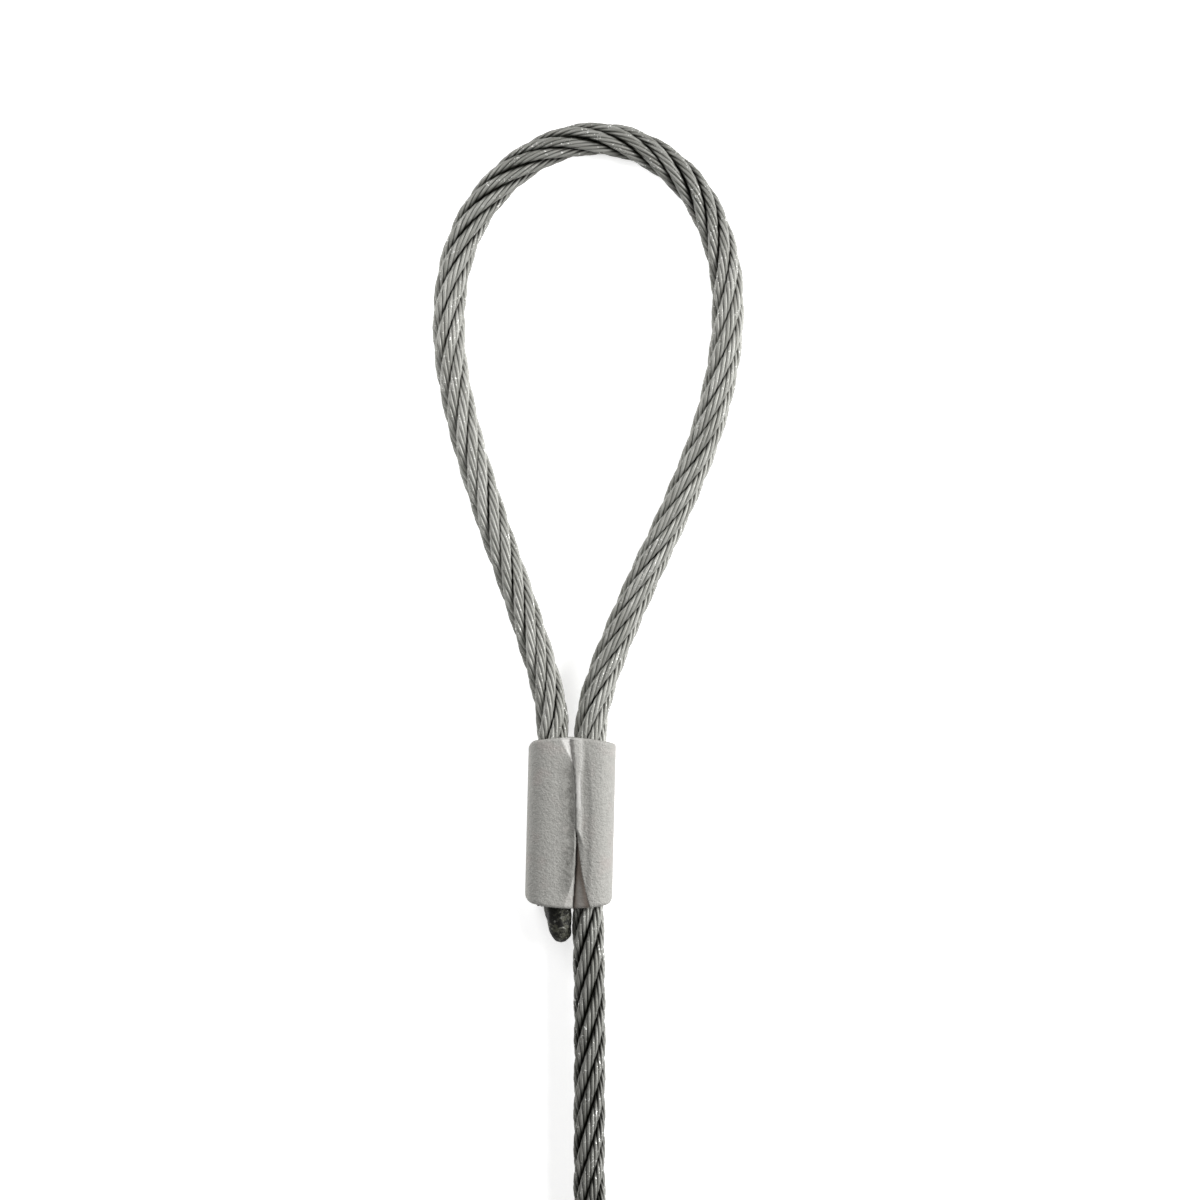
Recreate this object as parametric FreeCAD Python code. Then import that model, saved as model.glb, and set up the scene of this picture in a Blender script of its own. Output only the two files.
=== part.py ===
"""Wire rope sling with one pressed soft eye, laid flat, with its spare length coiled.

Frame: the origin is the middle of the ferrule's flat back. +Y runs along the ferrule towards the
eye, +X is to the right seen from above, +Z is up. The sling lies on the surface z = 0.
All sizes are in millimetres.
"""

import FreeCAD, Part

import math
import os

from FreeCAD import Vector

# Rope
ROPE_D = 3.0              # diameter over the six outer strands
EYE_ROUTE = [             # x, y and height of the rope's underside, up the left leg and round
    (-1.8, 11.6, 0.85),
    (-4.4, 20.0, 0.7),
    (-7.5, 28.6, 0.55),
    (-10.3, 37.8, 0.4),
    (-11.7, 46.0, 0.25),
    (-10.7, 54.1, 0.1),
    (-6.9, 60.25, 0.05),
    (-0.9, 64.1, 0.0),
    (5.5, 64.2, 0.0),
    (11.35, 60.3, 0.05),
    (14.4, 53.9, 0.1),
    (15.0, 46.6, 0.25),
    (13.4, 38.0, 0.4),
    (10.2, 29.9, 0.55),
    (6.2, 21.6, 0.7),
    (2.6, 13.0, 0.85),
]
STANDING_ROUTE = [        # the same, from the ferrule down to the coil
    (1.8, -18.0, 0.8),
    (1.65, -29.5, 0.6),
    (1.7, -38.0, 0.5),
    (4.65, -44.35, 0.5),
]

# Ferrule, pressed from an open sleeve
LEG_GAP = 0.2             # the metal pressed down between the two legs
FERRULE_WALL = 1.0        # over each leg
FERRULE_LENGTH = 16.0     # over the middle of its bulged ends
FERRULE_END_BULGE = 0.75  # how far the middle of an end stands beyond its corners
FERRULE_CORNER_R = 0.7
BACK_FLAT_WIDTH = 4.6     # the flat that the lower die leaves
FERRULE_LEAN = 1.4        # degrees that the sleeve was pressed out of line with the rope
ROPE_SEAT = 0.4           # how far inside each mouth the free rope starts

# Fused ends
STUB_PROUD = 0.1          # the dead leg's plain end beyond the sleeve
FUSED_LENGTH = 3.0
FUSED_BASE_D = 2.8
FUSED_TIP_D = 1.1
FUSED_LEAN = 0.55         # how far the dead end's tip leans towards the standing part

# Coil of the spare length: flat spirals on each other, wound inwards and outwards by turns
COIL_X = -5.0
COIL_Y = -61.2
COIL_MIDDLE_R = 16.0
COIL_TURNS_WIDE = 2
COIL_LAYERS = 4
COIL_CORNER_R = 1.4
TAIL_ROUTE = [            # distance outside the middle of the turns, direction, share of the climb
    (2.6, 83.3, 0.05),
    (3.0, 60.8, 0.15),
    (2.6, 38.3, 0.7),
    (1.7, 15.8, 1.0),
    (1.0, -6.7, 1.0),
]
TAIL_GAP = 0.05           # between the tail and the turns that it lies on

# Twist ties round the coil
TIE_ANGLES = (110.0, 230.0, 320.0)
TIE_THICKNESS = 0.5
TIE_WIDTH = 3.0
TIE_TWIST_D = 1.4
TIE_TWIST_LENGTH = 5.0

# Bends of a rope's plain tube
ARC_SHARE = 0.45          # of the shorter run beside a bend that its arc takes

# Values worked out from those above
ROPE_R = ROPE_D / 2
LEG_X = (ROPE_D + LEG_GAP) / 2
LOBE_R = ROPE_R + FERRULE_WALL
FERRULE_HALF_WIDTH = LEG_X + LOBE_R
ROPE_Z = math.sqrt(LOBE_R ** 2 - (BACK_FLAT_WIDTH / 2 - LEG_X) ** 2)
MOUTH_Y = FERRULE_LENGTH / 2 - ROPE_SEAT
COIL_WIDTH = (COIL_TURNS_WIDE + 1) * ROPE_D
COIL_HEIGHT = COIL_LAYERS * ROPE_D
COIL_BOTTOM = TIE_THICKNESS
COIL_MIDDLE_Z = COIL_BOTTOM + COIL_HEIGHT / 2
COIL_TOP = COIL_BOTTOM + COIL_HEIGHT


def route(points):
    """The rope's axis through points that give x, y and the height of its underside."""
    return [Vector(x, y, lift + ROPE_R) for x, y, lift in points]


def tube_path(points):
    """Straight runs joined by tangent arcs, each as large as its two runs allow, and the radii."""
    edges, radii = [], []
    start = points[0]
    for before, here, after in zip(points, points[1:], points[2:]):
        into = (here - before).normalize()
        out = (after - here).normalize()
        reach = ARC_SHARE * min((here - before).Length, (after - here).Length)
        radius = reach / math.tan(into.getAngle(out) / 2)
        arc_start = here - into * reach
        arc_end = here + out * reach
        inward = (out - into).normalize()
        centre = here + inward * math.hypot(radius, reach)
        edges.append(Part.LineSegment(start, arc_start).toShape())
        edges.append(Part.Arc(arc_start, centre - inward * radius, arc_end).toShape())
        radii.append(radius)
        start = arc_end
    edges.append(Part.LineSegment(start, points[-1]).toShape())
    return Part.Wire(edges), radii


def rope_tube(name, points):
    """A plain tube of the rope's diameter along a route."""
    path, radii = tube_path(points)
    section = Part.Wire(Part.makeCircle(ROPE_R, points[0], points[1] - points[0]))
    tube = path.makePipeShell([section], True, False)
    expected = math.pi * ROPE_R ** 2 * path.Length
    listed = ", ".join(f"{radius:.1f}" for radius in radii)
    print(f"{name}: length {path.Length:.1f}, bend radii {listed}")
    print(f"{name}: volume {tube.Volume:.1f}, section times length {expected:.1f}")
    return tube


def rope_leg(x, y_low, y_high):
    """A straight stretch of the rope inside the ferrule."""
    return Part.makeCylinder(ROPE_R, y_high - y_low, Vector(x, y_low, ROPE_Z), Vector(0, 1, 0))


def ferrule_section():
    """The B-shaped outline across the ferrule: a flat back and a lobe rolled over each leg."""
    flat = BACK_FLAT_WIDTH / 2
    groove_z = ROPE_Z + math.sqrt(LOBE_R ** 2 - LEG_X ** 2)
    y = -FERRULE_LENGTH
    back_left, back_right = Vector(-flat, y, 0), Vector(flat, y, 0)
    groove = Vector(0, y, groove_z)
    right = Part.Arc(back_right, Vector(FERRULE_HALF_WIDTH, y, ROPE_Z), groove)
    left = Part.Arc(groove, Vector(-FERRULE_HALF_WIDTH, y, ROPE_Z), back_left)
    back = Part.LineSegment(back_left, back_right)
    return Part.Face(Part.Wire([back.toShape(), right.toShape(), left.toShape()]))


def ferrule_plan():
    """The outline from above: straight sides, bulged ends and rounded corners."""
    x, y_end = FERRULE_HALF_WIDTH, FERRULE_LENGTH / 2
    y_corner = y_end - FERRULE_END_BULGE
    corners = [Vector(x, -y_corner, 0), Vector(x, y_corner, 0),
               Vector(-x, y_corner, 0), Vector(-x, -y_corner, 0)]
    sides = [
        Part.LineSegment(corners[0], corners[1]),
        Part.Arc(corners[1], Vector(0, y_end, 0), corners[2]),
        Part.LineSegment(corners[2], corners[3]),
        Part.Arc(corners[3], Vector(0, -y_end, 0), corners[0]),
    ]
    plate = Part.Face(Part.Wire([side.toShape() for side in sides]))
    block = plate.extrude(Vector(0, 0, ROPE_Z + 2 * LOBE_R))
    upright = [e for e in block.Edges if abs(e.tangentAt(e.FirstParameter).z) > 0.99]
    return block.makeFillet(FERRULE_CORNER_R, upright)


def make_ferrule():
    """The pressed sleeve, with the two bores that the legs fill."""
    bar = ferrule_section().extrude(Vector(0, 2 * FERRULE_LENGTH, 0))
    sleeve = bar.common(ferrule_plan())
    sleeve.rotate(Vector(0, 0, 0), Vector(0, 0, 1), -FERRULE_LEAN)
    for x in (-LEG_X, LEG_X):
        sleeve = sleeve.cut(rope_leg(x, -FERRULE_LENGTH, FERRULE_LENGTH))
    return sleeve


def make_fused_end(base, direction, lean):
    """The rope's cut and fused end: a short taper from base, its tip leaning to one side."""
    rings = []
    for share, diameter in ((0.0, FUSED_BASE_D), (0.5, 0.82 * FUSED_BASE_D), (1.0, FUSED_TIP_D)):
        centre = base + direction * (FUSED_LENGTH * share) + lean * share
        rings.append(Part.Wire(Part.makeCircle(diameter / 2, centre, direction)))
    return Part.makeLoft(rings, True)


def on_coil(radius, angle, z):
    """A point given by its distance from the coil's middle, its direction and its height."""
    a = math.radians(angle)
    return Vector(COIL_X + radius * math.cos(a), COIL_Y + radius * math.sin(a), z)


def coil_ring(grow, first_angle, sweep):
    """The rounded outline across the turns, grown on every side and turned about the coil."""
    across, up = COIL_WIDTH / 2 + grow, COIL_HEIGHT / 2 + grow
    corners = [on_coil(COIL_MIDDLE_R + a * across, first_angle, COIL_MIDDLE_Z + b * up)
               for a, b in ((-1, -1), (1, -1), (1, 1), (-1, 1))]
    outline = Part.Face(Part.makePolygon(corners + corners[:1]))
    ring = outline.revolve(Vector(COIL_X, COIL_Y, 0), Vector(0, 0, 1), sweep)
    round_edges = [edge for edge in ring.Edges if isinstance(edge.Curve, Part.Circle)]
    return ring.makeFillet(COIL_CORNER_R + grow, round_edges)


def make_tie(angle, coil):
    """A coated wire wrapped once round the turns, its ends twisted together inside the coil."""
    sweep = math.degrees(TIE_WIDTH / COIL_MIDDLE_R)
    band = coil_ring(TIE_THICKNESS, angle - sweep / 2, sweep)
    inner_r = COIL_MIDDLE_R - COIL_WIDTH / 2
    root = on_coil(inner_r, angle, COIL_MIDDLE_Z)
    tip = on_coil(inner_r - TIE_THICKNESS - TIE_TWIST_LENGTH, angle, COIL_MIDDLE_Z)
    twist = Part.makeCylinder(TIE_TWIST_D / 2, (tip - root).Length, root, tip - root)
    return band.fuse(twist).cut(coil)


def make_tail():
    """The rope's last stretch, from the top layer onto the top of the coil, and its route."""
    low = COIL_TOP - ROPE_R
    climb = ROPE_D + TAIL_GAP
    points = [on_coil(COIL_MIDDLE_R + out, angle, low + climb * share)
              for out, angle, share in TAIL_ROUTE]
    return rope_tube("rope_tail", points), points


def build():
    """Every piece of the sling, by name."""
    mouth_lift = ROPE_Z - ROPE_R
    dead_end_y = -FERRULE_LENGTH / 2 - STUB_PROUD
    eye = route([(-LEG_X, MOUTH_Y, mouth_lift), *EYE_ROUTE, (LEG_X, MOUTH_Y, mouth_lift)])
    standing = route([(LEG_X, -MOUTH_Y, mouth_lift), *STANDING_ROUTE])
    coil = coil_ring(0.0, 0.0, 360.0)
    tail, tail_points = make_tail()
    tail_direction = (tail_points[-1] - tail_points[-2]).normalize()
    dead_end_base = Vector(-LEG_X, dead_end_y, ROPE_Z)
    pieces = {
        "ferrule": make_ferrule(),
        "rope_dead_leg": rope_leg(-LEG_X, dead_end_y, MOUTH_Y),
        "rope_live_leg": rope_leg(LEG_X, -MOUTH_Y, MOUTH_Y),
        "rope_eye": rope_tube("rope_eye", eye),
        "fused_dead_end": make_fused_end(dead_end_base, Vector(0, -1, 0),
                                         Vector(FUSED_LEAN, 0, 0)),
        "rope_standing": rope_tube("rope_standing", standing).cut(coil),
        "rope_coil": coil,
        "rope_tail": tail.cut(coil),
        "fused_far_end": make_fused_end(tail_points[-1], tail_direction, Vector(0, 0, 0)),
    }
    for number, angle in enumerate(TIE_ANGLES, start=1):
        pieces[f"coil_tie_{number}"] = make_tie(angle, coil)
    return pieces


os.makedirs("parts", exist_ok=True)
for name, shape in build().items():
    shape.exportStep(f"parts/{name}.step")
    solids = len(shape.Solids)
    print(f"{name}: {solids} solid, valid {shape.isValid()}, volume {shape.Volume:.2f}")
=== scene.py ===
"""A wire rope sling with one pressed soft eye, laid flat, with its spare length in a tied coil.

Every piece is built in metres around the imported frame: the laid strands of the rope, the pressed
ferrule, the two fused ends and the twist ties round the coil.
"""

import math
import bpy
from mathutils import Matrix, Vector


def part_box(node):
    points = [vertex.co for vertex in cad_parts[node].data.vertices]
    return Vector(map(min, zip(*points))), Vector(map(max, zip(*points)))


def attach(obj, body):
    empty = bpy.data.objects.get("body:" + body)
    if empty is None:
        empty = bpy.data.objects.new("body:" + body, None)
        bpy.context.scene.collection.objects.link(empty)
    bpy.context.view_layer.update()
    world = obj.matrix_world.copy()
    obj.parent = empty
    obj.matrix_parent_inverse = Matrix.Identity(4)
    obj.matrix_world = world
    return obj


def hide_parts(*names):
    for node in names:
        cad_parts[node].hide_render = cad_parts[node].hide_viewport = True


bl_info = {
    "name": "Wire rope sling",
    "version": (1, 0, 0),
    "blender": (4, 5, 0),
    "location": "View3D > Sidebar > Sling",
    "description": "Builds a laid wire rope sling with a pressed soft eye and a tied coil",
    "category": "Add Mesh",
}

import bmesh
import bpy
from mathutils import Vector, noise

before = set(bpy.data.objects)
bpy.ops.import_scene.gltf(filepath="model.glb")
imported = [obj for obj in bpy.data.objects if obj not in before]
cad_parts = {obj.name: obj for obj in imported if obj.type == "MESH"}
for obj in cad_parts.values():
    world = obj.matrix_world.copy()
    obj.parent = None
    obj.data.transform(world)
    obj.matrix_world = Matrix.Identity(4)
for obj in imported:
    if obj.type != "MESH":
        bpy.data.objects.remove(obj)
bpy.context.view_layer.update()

MM = 0.001
TURN = 2 * math.pi
BODY = "root"


def box_middle(node):
    """The middle of a frame node's box."""
    low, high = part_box(node)
    return (low + high) / 2


def box_size(node):
    """The size of a frame node's box."""
    low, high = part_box(node)
    return high - low


# Places and sizes taken from the frame
ROPE_D = round(box_size("rope_dead_leg").x, 5)
ROPE_R = ROPE_D / 2
LEG_X = round(-box_middle("rope_dead_leg").x, 5)
LEG_Z = round(box_middle("rope_dead_leg").z, 5)
MOUTH_Y = round(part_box("rope_dead_leg")[1].y, 5)
DEAD_END_Y = round(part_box("rope_dead_leg")[0].y, 5)
INSIDE_Y = -0.4 * MOUTH_Y
FUSED_OVERLAP = 0.4 * MM
COIL_MIDDLE = box_middle("rope_coil")
COIL_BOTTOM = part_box("rope_coil")[0].z
COIL_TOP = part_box("rope_coil")[1].z

# The rope's route: x, y and the height of its underside, in metres
EYE_ROUTE = [
    (-0.0018, 0.0116, 0.00085),
    (-0.0044, 0.0200, 0.0007),
    (-0.0075, 0.0286, 0.00055),
    (-0.0103, 0.0378, 0.0004),
    (-0.0117, 0.0460, 0.00025),
    (-0.0107, 0.0541, 0.0001),
    (-0.0069, 0.06025, 0.00005),
    (-0.0009, 0.0641, 0.0),
    (0.0055, 0.0642, 0.0),
    (0.01135, 0.0603, 0.00005),
    (0.0144, 0.0539, 0.0001),
    (0.0150, 0.0466, 0.00025),
    (0.0134, 0.0380, 0.0004),
    (0.0102, 0.0299, 0.00055),
    (0.0062, 0.0216, 0.0007),
    (0.0026, 0.0130, 0.00085),
]
STANDING_ROUTE = [
    (0.00185, -0.0180, 0.0008),
    (0.00175, -0.0295, 0.0006),
    (0.0018, -0.0380, 0.0005),
    (0.00465, -0.04435, 0.0005),
]

# The coil: flat spirals on each other, wound inwards and outwards by turns
TURNS_PER_LAYER = 2
COIL_LAYERS = 4
POINTS_PER_TURN = 16
CLIMB_TURNS = 0.18        # of a turn, to climb from one layer to the next
COIL_START_ANGLE = 38.3
TAIL_ROUTE = [            # distance outside the middle of the turns, direction, share of the climb
    (0.0026, 83.3, 0.05),
    (0.0030, 60.8, 0.15),
    (0.0026, 38.3, 0.7),
    (0.0017, 15.8, 1.0),
    (0.0010, -6.7, 1.0),
]
TAIL_GAP = 0.05 * MM
COIL_MIDDLE_R = box_size("rope_coil").y / 2 - (TURNS_PER_LAYER + 1) * ROPE_R
TIE_NODES = ("coil_tie_1", "coil_tie_2", "coil_tie_3")

LOBE_SQUARENESS = 2.7     # 2 is a round shoulder on the ferrule's lobes
CREASE_SHARE = {-1: 0.36, 1: 0.6}       # how much of the hollow the pressing leaves, left and right
CORNER_WEAR = {           # share of the corner radius, by whether it is on the right and at the eye
    (False, False): 1.1,
    (False, True): 0.9,
    (True, False): 0.9,
    (True, True): 0.35,
}
BEND_LOOSENING = 9 * MM   # how much more the strands wander in a bend, times its curvature
BEND_SWELL = 0.5 * MM     # how much further the strands stand out in a bend, times its curvature
SHADED_CROWN = (46 * MM, 62 * MM)        # where the painted shade begins and is full, along the sling
SHADED_STANDING = (-5 * MM, -12 * MM)
DEAD_END_SHIFT = 0.1 * MM        # the fused dead end, off its leg's axis and out of line
DEAD_END_LEAN = 0.62 * MM
DEAD_END_WIDTH = 0.9 * ROPE_D
FAR_END_WIDTH = 0.96 * ROPE_D
EYE_DETAIL = 24           # points of the line to each point of its route
COIL_DETAIL = 12
KEY_LIGHT = ((0.33, 0.09, 0.24), 0.22)  # where it stands and how wide it is
FILL_LIGHT = ((-0.075, 0.10, 0.09), 0.07)
REST_GAP = 0.09 * MM      # strands stand this far proud of the rope's round section


# ---- Node building ----


class Value:
    """A socket in a node tree that arithmetic works on."""

    def __init__(self, graph, socket):
        self.graph = graph
        self.socket = socket

    def is_vector(self):
        """Whether the socket carries three numbers."""
        return self.socket.type == "VECTOR"

    def _maths(self, operation, first, second):
        """A maths node for numbers, or a vector maths node when a vector takes part."""
        vectors = [v for v in (first, second) if isinstance(v, Value) and v.is_vector()]
        if not vectors:
            return self.graph.node(
                "ShaderNodeMath", {"operation": operation}, {0: first, 1: second}
            )
        if operation == "MULTIPLY" and len(vectors) == 1:
            factor = second if first is vectors[0] else first
            inputs = {"Vector": vectors[0], "Scale": factor}
            return self.graph.node("ShaderNodeVectorMath", {"operation": "SCALE"}, inputs)
        return self.graph.node(
            "ShaderNodeVectorMath", {"operation": operation}, {0: first, 1: second}
        )

    def __add__(self, other):
        return self._maths("ADD", self, other)

    def __radd__(self, other):
        return self._maths("ADD", other, self)

    def __sub__(self, other):
        return self._maths("SUBTRACT", self, other)

    def __rsub__(self, other):
        return self._maths("SUBTRACT", other, self)

    def __mul__(self, other):
        return self._maths("MULTIPLY", self, other)

    def __rmul__(self, other):
        return self._maths("MULTIPLY", other, self)

    def __truediv__(self, other):
        return self._maths("DIVIDE", self, other)

    def __rtruediv__(self, other):
        return self._maths("DIVIDE", other, self)


class Graph:
    """A node tree under construction, for geometry or for a finish."""

    def __init__(self, tree):
        self.tree = tree

    def node(self, kind, settings=None, inputs=None, output=0):
        """Adds a node: its settings first, then the values or links of its sockets."""
        made = self.tree.nodes.new(kind)
        for name, value in (settings or {}).items():
            setattr(made, name, value)
        for name, value in (inputs or {}).items():
            if isinstance(value, Value):
                self.tree.links.new(value.socket, made.inputs[name])
            else:
                made.inputs[name].default_value = value
        found = made.outputs[output] if made.outputs else None
        return Value(self, found) if found else made

    def cos(self, angle):
        """The cosine of an angle in radians."""
        return self.node("ShaderNodeMath", {"operation": "COSINE"}, {0: angle})

    def sin(self, angle):
        """The sine of an angle in radians."""
        return self.node("ShaderNodeMath", {"operation": "SINE"}, {0: angle})

    def step(self, value, low, high):
        """0 below low, 1 above high, and a smooth rise between."""
        return self.node(
            "ShaderNodeMapRange",
            {"interpolation_type": "SMOOTHSTEP"},
            {"Value": value, "From Min": low, "From Max": high},
        )

    def mix(self, factor, first, second):
        """A colour between first and second."""
        return self.node(
            "ShaderNodeMix", {"data_type": "RGBA"}, {0: factor, 6: first, 7: second}, output=2
        )

    def noise(self, place, scale, detail=2.0, roughness=0.5):
        """Soft noise between 0 and 1 at a place, with so many lumps in a metre."""
        return self.node(
            "ShaderNodeTexNoise",
            None,
            {"Vector": place, "Scale": scale, "Detail": detail, "Roughness": roughness},
        )

    def attribute(self, name):
        """A number stored on the mesh."""
        return self.node("ShaderNodeAttribute", {"attribute_name": name}, None, output=2)


class Finish(Graph):
    """A material with one Principled shader."""

    def __init__(self, name):
        self.material = bpy.data.materials.new(name)
        self.material.use_nodes = True
        super().__init__(self.material.node_tree)
        self.shader = self.tree.nodes["Principled BSDF"]
        self.place = self.node("ShaderNodeTexCoord", output=3)

    def set(self, **sockets):
        """Sets or links the shader's sockets, named with underscores for spaces."""
        for name, value in sockets.items():
            socket = self.shader.inputs[name.replace("_", " ")]
            if isinstance(value, Value):
                self.tree.links.new(value.socket, socket)
            else:
                socket.default_value = value

    def bump(self, height, distance, strength=1.0):
        """The surface's normal after a bump of that height in metres."""
        return self.node(
            "ShaderNodeBump", None, {"Height": height, "Distance": distance, "Strength": strength}
        )


# ---- Finishes ----


def galvanised_wire(colours):
    """Dull zinc on drawn steel: grey crowns, small painted highlight glints, painted shade down in
    the gaps.

    The crown and the standing rope are painted darker, as painted shade; the eye's legs are not.
    """
    finish = Finish("galvanised_wire")
    depth = finish.attribute("depth")
    tone = finish.attribute("tone")
    patches = finish.noise(finish.place, 420.0, 3.0)
    grain = finish.noise(finish.place, 6500.0, 2.0)
    along = finish.node("ShaderNodeSeparateXYZ", None, {"Vector": finish.place}, output=1)
    # Painted shade: the crown and the standing rope are tinted darker, and their gaps are painted
    # dark further out.
    shaded_stretch = finish.step(along, SHADED_CROWN[0], SHADED_CROWN[1])
    shaded_stretch = shaded_stretch + finish.step(along, SHADED_STANDING[0], SHADED_STANDING[1])
    # Painted shade between the strands: the deeper a wire's surface lies towards the rope's axis,
    # the darker its colour.
    shade_depth = depth + (patches - 0.5) * (0.34 * ROPE_R) - shaded_stretch * (0.21 * ROPE_R)
    open_gap = finish.step(shade_depth, 0.52 * ROPE_R, 0.80 * ROPE_R)
    crown = finish.step(depth, 0.84 * ROPE_R, 0.97 * ROPE_R)
    clusters = finish.step(finish.noise(finish.place, 700.0, 1.0), 0.46, 0.6)
    # Painted highlight: small near-white glints on the crowns of the wires.
    glint = finish.step(finish.noise(finish.place, 5200.0, 1.0), 0.63, 0.69) * clusters * crown
    zinc = finish.mix(tone, (*colours.wire_dark, 1), (*colours.wire_light, 1))
    zinc = finish.mix(finish.step(patches, 0.35, 0.75) * 0.4, zinc, (*colours.wire_dark, 1))
    zinc = finish.mix(shaded_stretch * 0.30, zinc, (*colours.wire_painted_shade, 1))
    gap_shaded = finish.mix(open_gap, (*colours.wire_painted_shade, 1), zinc)
    finish.set(
        Base_Color=finish.mix(glint * 0.85, gap_shaded, (*colours.wire_glint, 1)),
        Metallic=0.3,
        Roughness=0.5 + (grain - 0.5) * 0.3 - glint * 0.2,
        Normal=finish.bump(grain, 0.02 * MM, 0.6),
    )
    return finish.material


def sand_pressed_alloy(colours):
    """The ferrule's matt face: fine sand grain, smooth shear-cut flaps with painted highlight
    beside the seam, painted shade along the valleys and in the opened corner.
    """
    finish = Finish("sand_pressed_alloy")
    sheared_and_highlight = finish.attribute("sheared_and_highlight")
    crease_shade = finish.attribute("crease_shade")
    corner_shade = finish.attribute("corner_shade")
    grain = finish.noise(finish.place, 6400.0, 3.0, 0.6)
    waves = finish.noise(finish.place, 3100.0, 2.0)
    patches = finish.noise(finish.place, 330.0, 2.0)
    pink = finish.step(finish.noise(finish.place, 480.0, 2.0), 0.52, 0.75)
    pits = finish.step(finish.noise(finish.place, 800.0, 1.0), 0.79, 0.83)
    matt = 1 - sheared_and_highlight
    base = finish.mix(
        finish.step(grain * 0.7 + waves * 0.3, 0.32, 0.68),
        (*colours.alloy_dark, 1),
        (*colours.alloy_light, 1),
    )
    base = finish.mix(finish.step(patches, 0.4, 0.8) * 0.25, base, (*colours.alloy_light, 1))
    base = finish.mix(pink * 0.35 * matt, base, (*colours.alloy_pink, 1))
    base = finish.mix(pits * 0.6 * matt, base, (*colours.alloy_pits_and_shade, 1))
    # Shear-cut faces and painted highlight: mixed towards the bright alloy.
    base = finish.mix(sheared_and_highlight * 0.85, base, (*colours.alloy_bright, 1))
    # Painted shade, mottled, along the valleys and in the seam.
    mottled_shade = crease_shade * (finish.step(waves, 0.3, 0.7) * 0.7 + 0.6)
    base = finish.mix(mottled_shade, base, (*colours.alloy_pits_and_shade, 1))
    # Painted shade, tinted brown, over the opened corner of a flap.
    base = finish.mix(corner_shade, base, (*colours.alloy_corner_shade, 1))
    finish.set(
        Base_Color=base,
        Metallic=0.3,
        Roughness=0.66 - sheared_and_highlight * 0.26 + (grain - 0.5) * 0.2,
        Normal=finish.bump((grain * 0.45 + waves * 0.55) * (matt * 0.85 + 0.15), 0.14 * MM, 1.0),
    )
    return finish.material


def scorched_steel(colours):
    """A fused rope end: blackened, pitted, with a few bare flecks."""
    finish = Finish("scorched_steel")
    lumps = finish.noise(finish.place, 1300.0, 3.0)
    grain = finish.noise(finish.place, 4800.0, 2.0)
    fleck = finish.step(finish.noise(finish.place, 3100.0, 2.0), 0.58, 0.7)
    base = finish.mix(
        finish.step(lumps * 0.6 + grain * 0.4, 0.46, 0.60),
        (*colours.scorch_black, 1),
        (*colours.scorch_olive, 1),
    )
    finish.set(
        Base_Color=finish.mix(fleck * 0.5, base, (*colours.scorch_fleck, 1)),
        Metallic=0.3,
        Roughness=0.6 - fleck * 0.2,
        Normal=finish.bump(lumps * 0.6 + grain * 0.4, 0.12 * MM, 0.9),
    )
    return finish.material


def tie_plastic(colours):
    """The smooth coating of a twist tie, slightly dulled by handling."""
    finish = Finish("tie_plastic")
    wear = finish.noise(finish.place, 700.0, 3.0)
    scuff = finish.noise(finish.place, 3800.0, 2.0)
    finish.set(
        Base_Color=finish.mix(
            finish.step(wear, 0.4, 0.75) * 0.5, (*colours.tie, 1), (*colours.tie_worn, 1)
        ),
        Roughness=finish.step(wear * 0.6 + scuff * 0.4, 0.3, 0.7) * 0.2 + 0.36,
        Normal=finish.bump(wear * 0.7 + scuff * 0.3, 0.03 * MM, 0.4),
    )
    return finish.material


# ---- Rope ----


def lifted(points):
    """The rope's axis through points that give x, y and the height of its underside."""
    return [Vector((x, y, lift + ROPE_R + REST_GAP)) for x, y, lift in points]


def on_coil(radius, angle, z):
    """A point given by its distance from the coil's middle, its direction and its height."""
    a = math.radians(angle)
    return Vector((COIL_MIDDLE.x + radius * math.cos(a), COIL_MIDDLE.y + radius * math.sin(a), z))


def smooth(x):
    """0 below 0, 1 above 1, and an even rise between."""
    x = min(max(x, 0.0), 1.0)
    return x * x * (3 - 2 * x)


def coil_level(turns):
    """How many diameters the rope's axis has climbed after that many turns of the coil."""
    level = 0.0
    for layer in range(1, COIL_LAYERS):
        past = turns - layer * TURNS_PER_LAYER
        level += smooth(past / CLIMB_TURNS + 0.5)
    return level


def coil_points():
    """Control points of the turns: each layer is a flat spiral, wound inwards, then outwards."""
    half_band = TURNS_PER_LAYER * ROPE_D / 2
    widen = 1 / math.cos(math.pi / POINTS_PER_TURN)
    turn_points = TURNS_PER_LAYER * COIL_LAYERS * POINTS_PER_TURN
    tail_overlap = 2
    points = []
    for i in range(turn_points - tail_overlap):
        turns = (i + 0.5) / POINTS_PER_TURN
        layer, along = divmod(turns / TURNS_PER_LAYER, 1.0)
        outwards = 1 if layer % 2 else -1
        across = half_band * outwards * (2 * along - 1)
        z = COIL_BOTTOM + ROPE_R + coil_level(turns) * ROPE_D
        angle = COIL_START_ANGLE - 360 * i / POINTS_PER_TURN
        points.append(on_coil((COIL_MIDDLE_R + across) * widen, angle, z))
    return points


def tail_points():
    """Control points of the last stretch, which climbs onto the top of the coil."""
    low = COIL_TOP - ROPE_R
    climb = ROPE_D + TAIL_GAP
    return [
        on_coil(COIL_MIDDLE_R + out, angle, low + climb * share) for out, angle, share in TAIL_ROUTE
    ]


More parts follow.
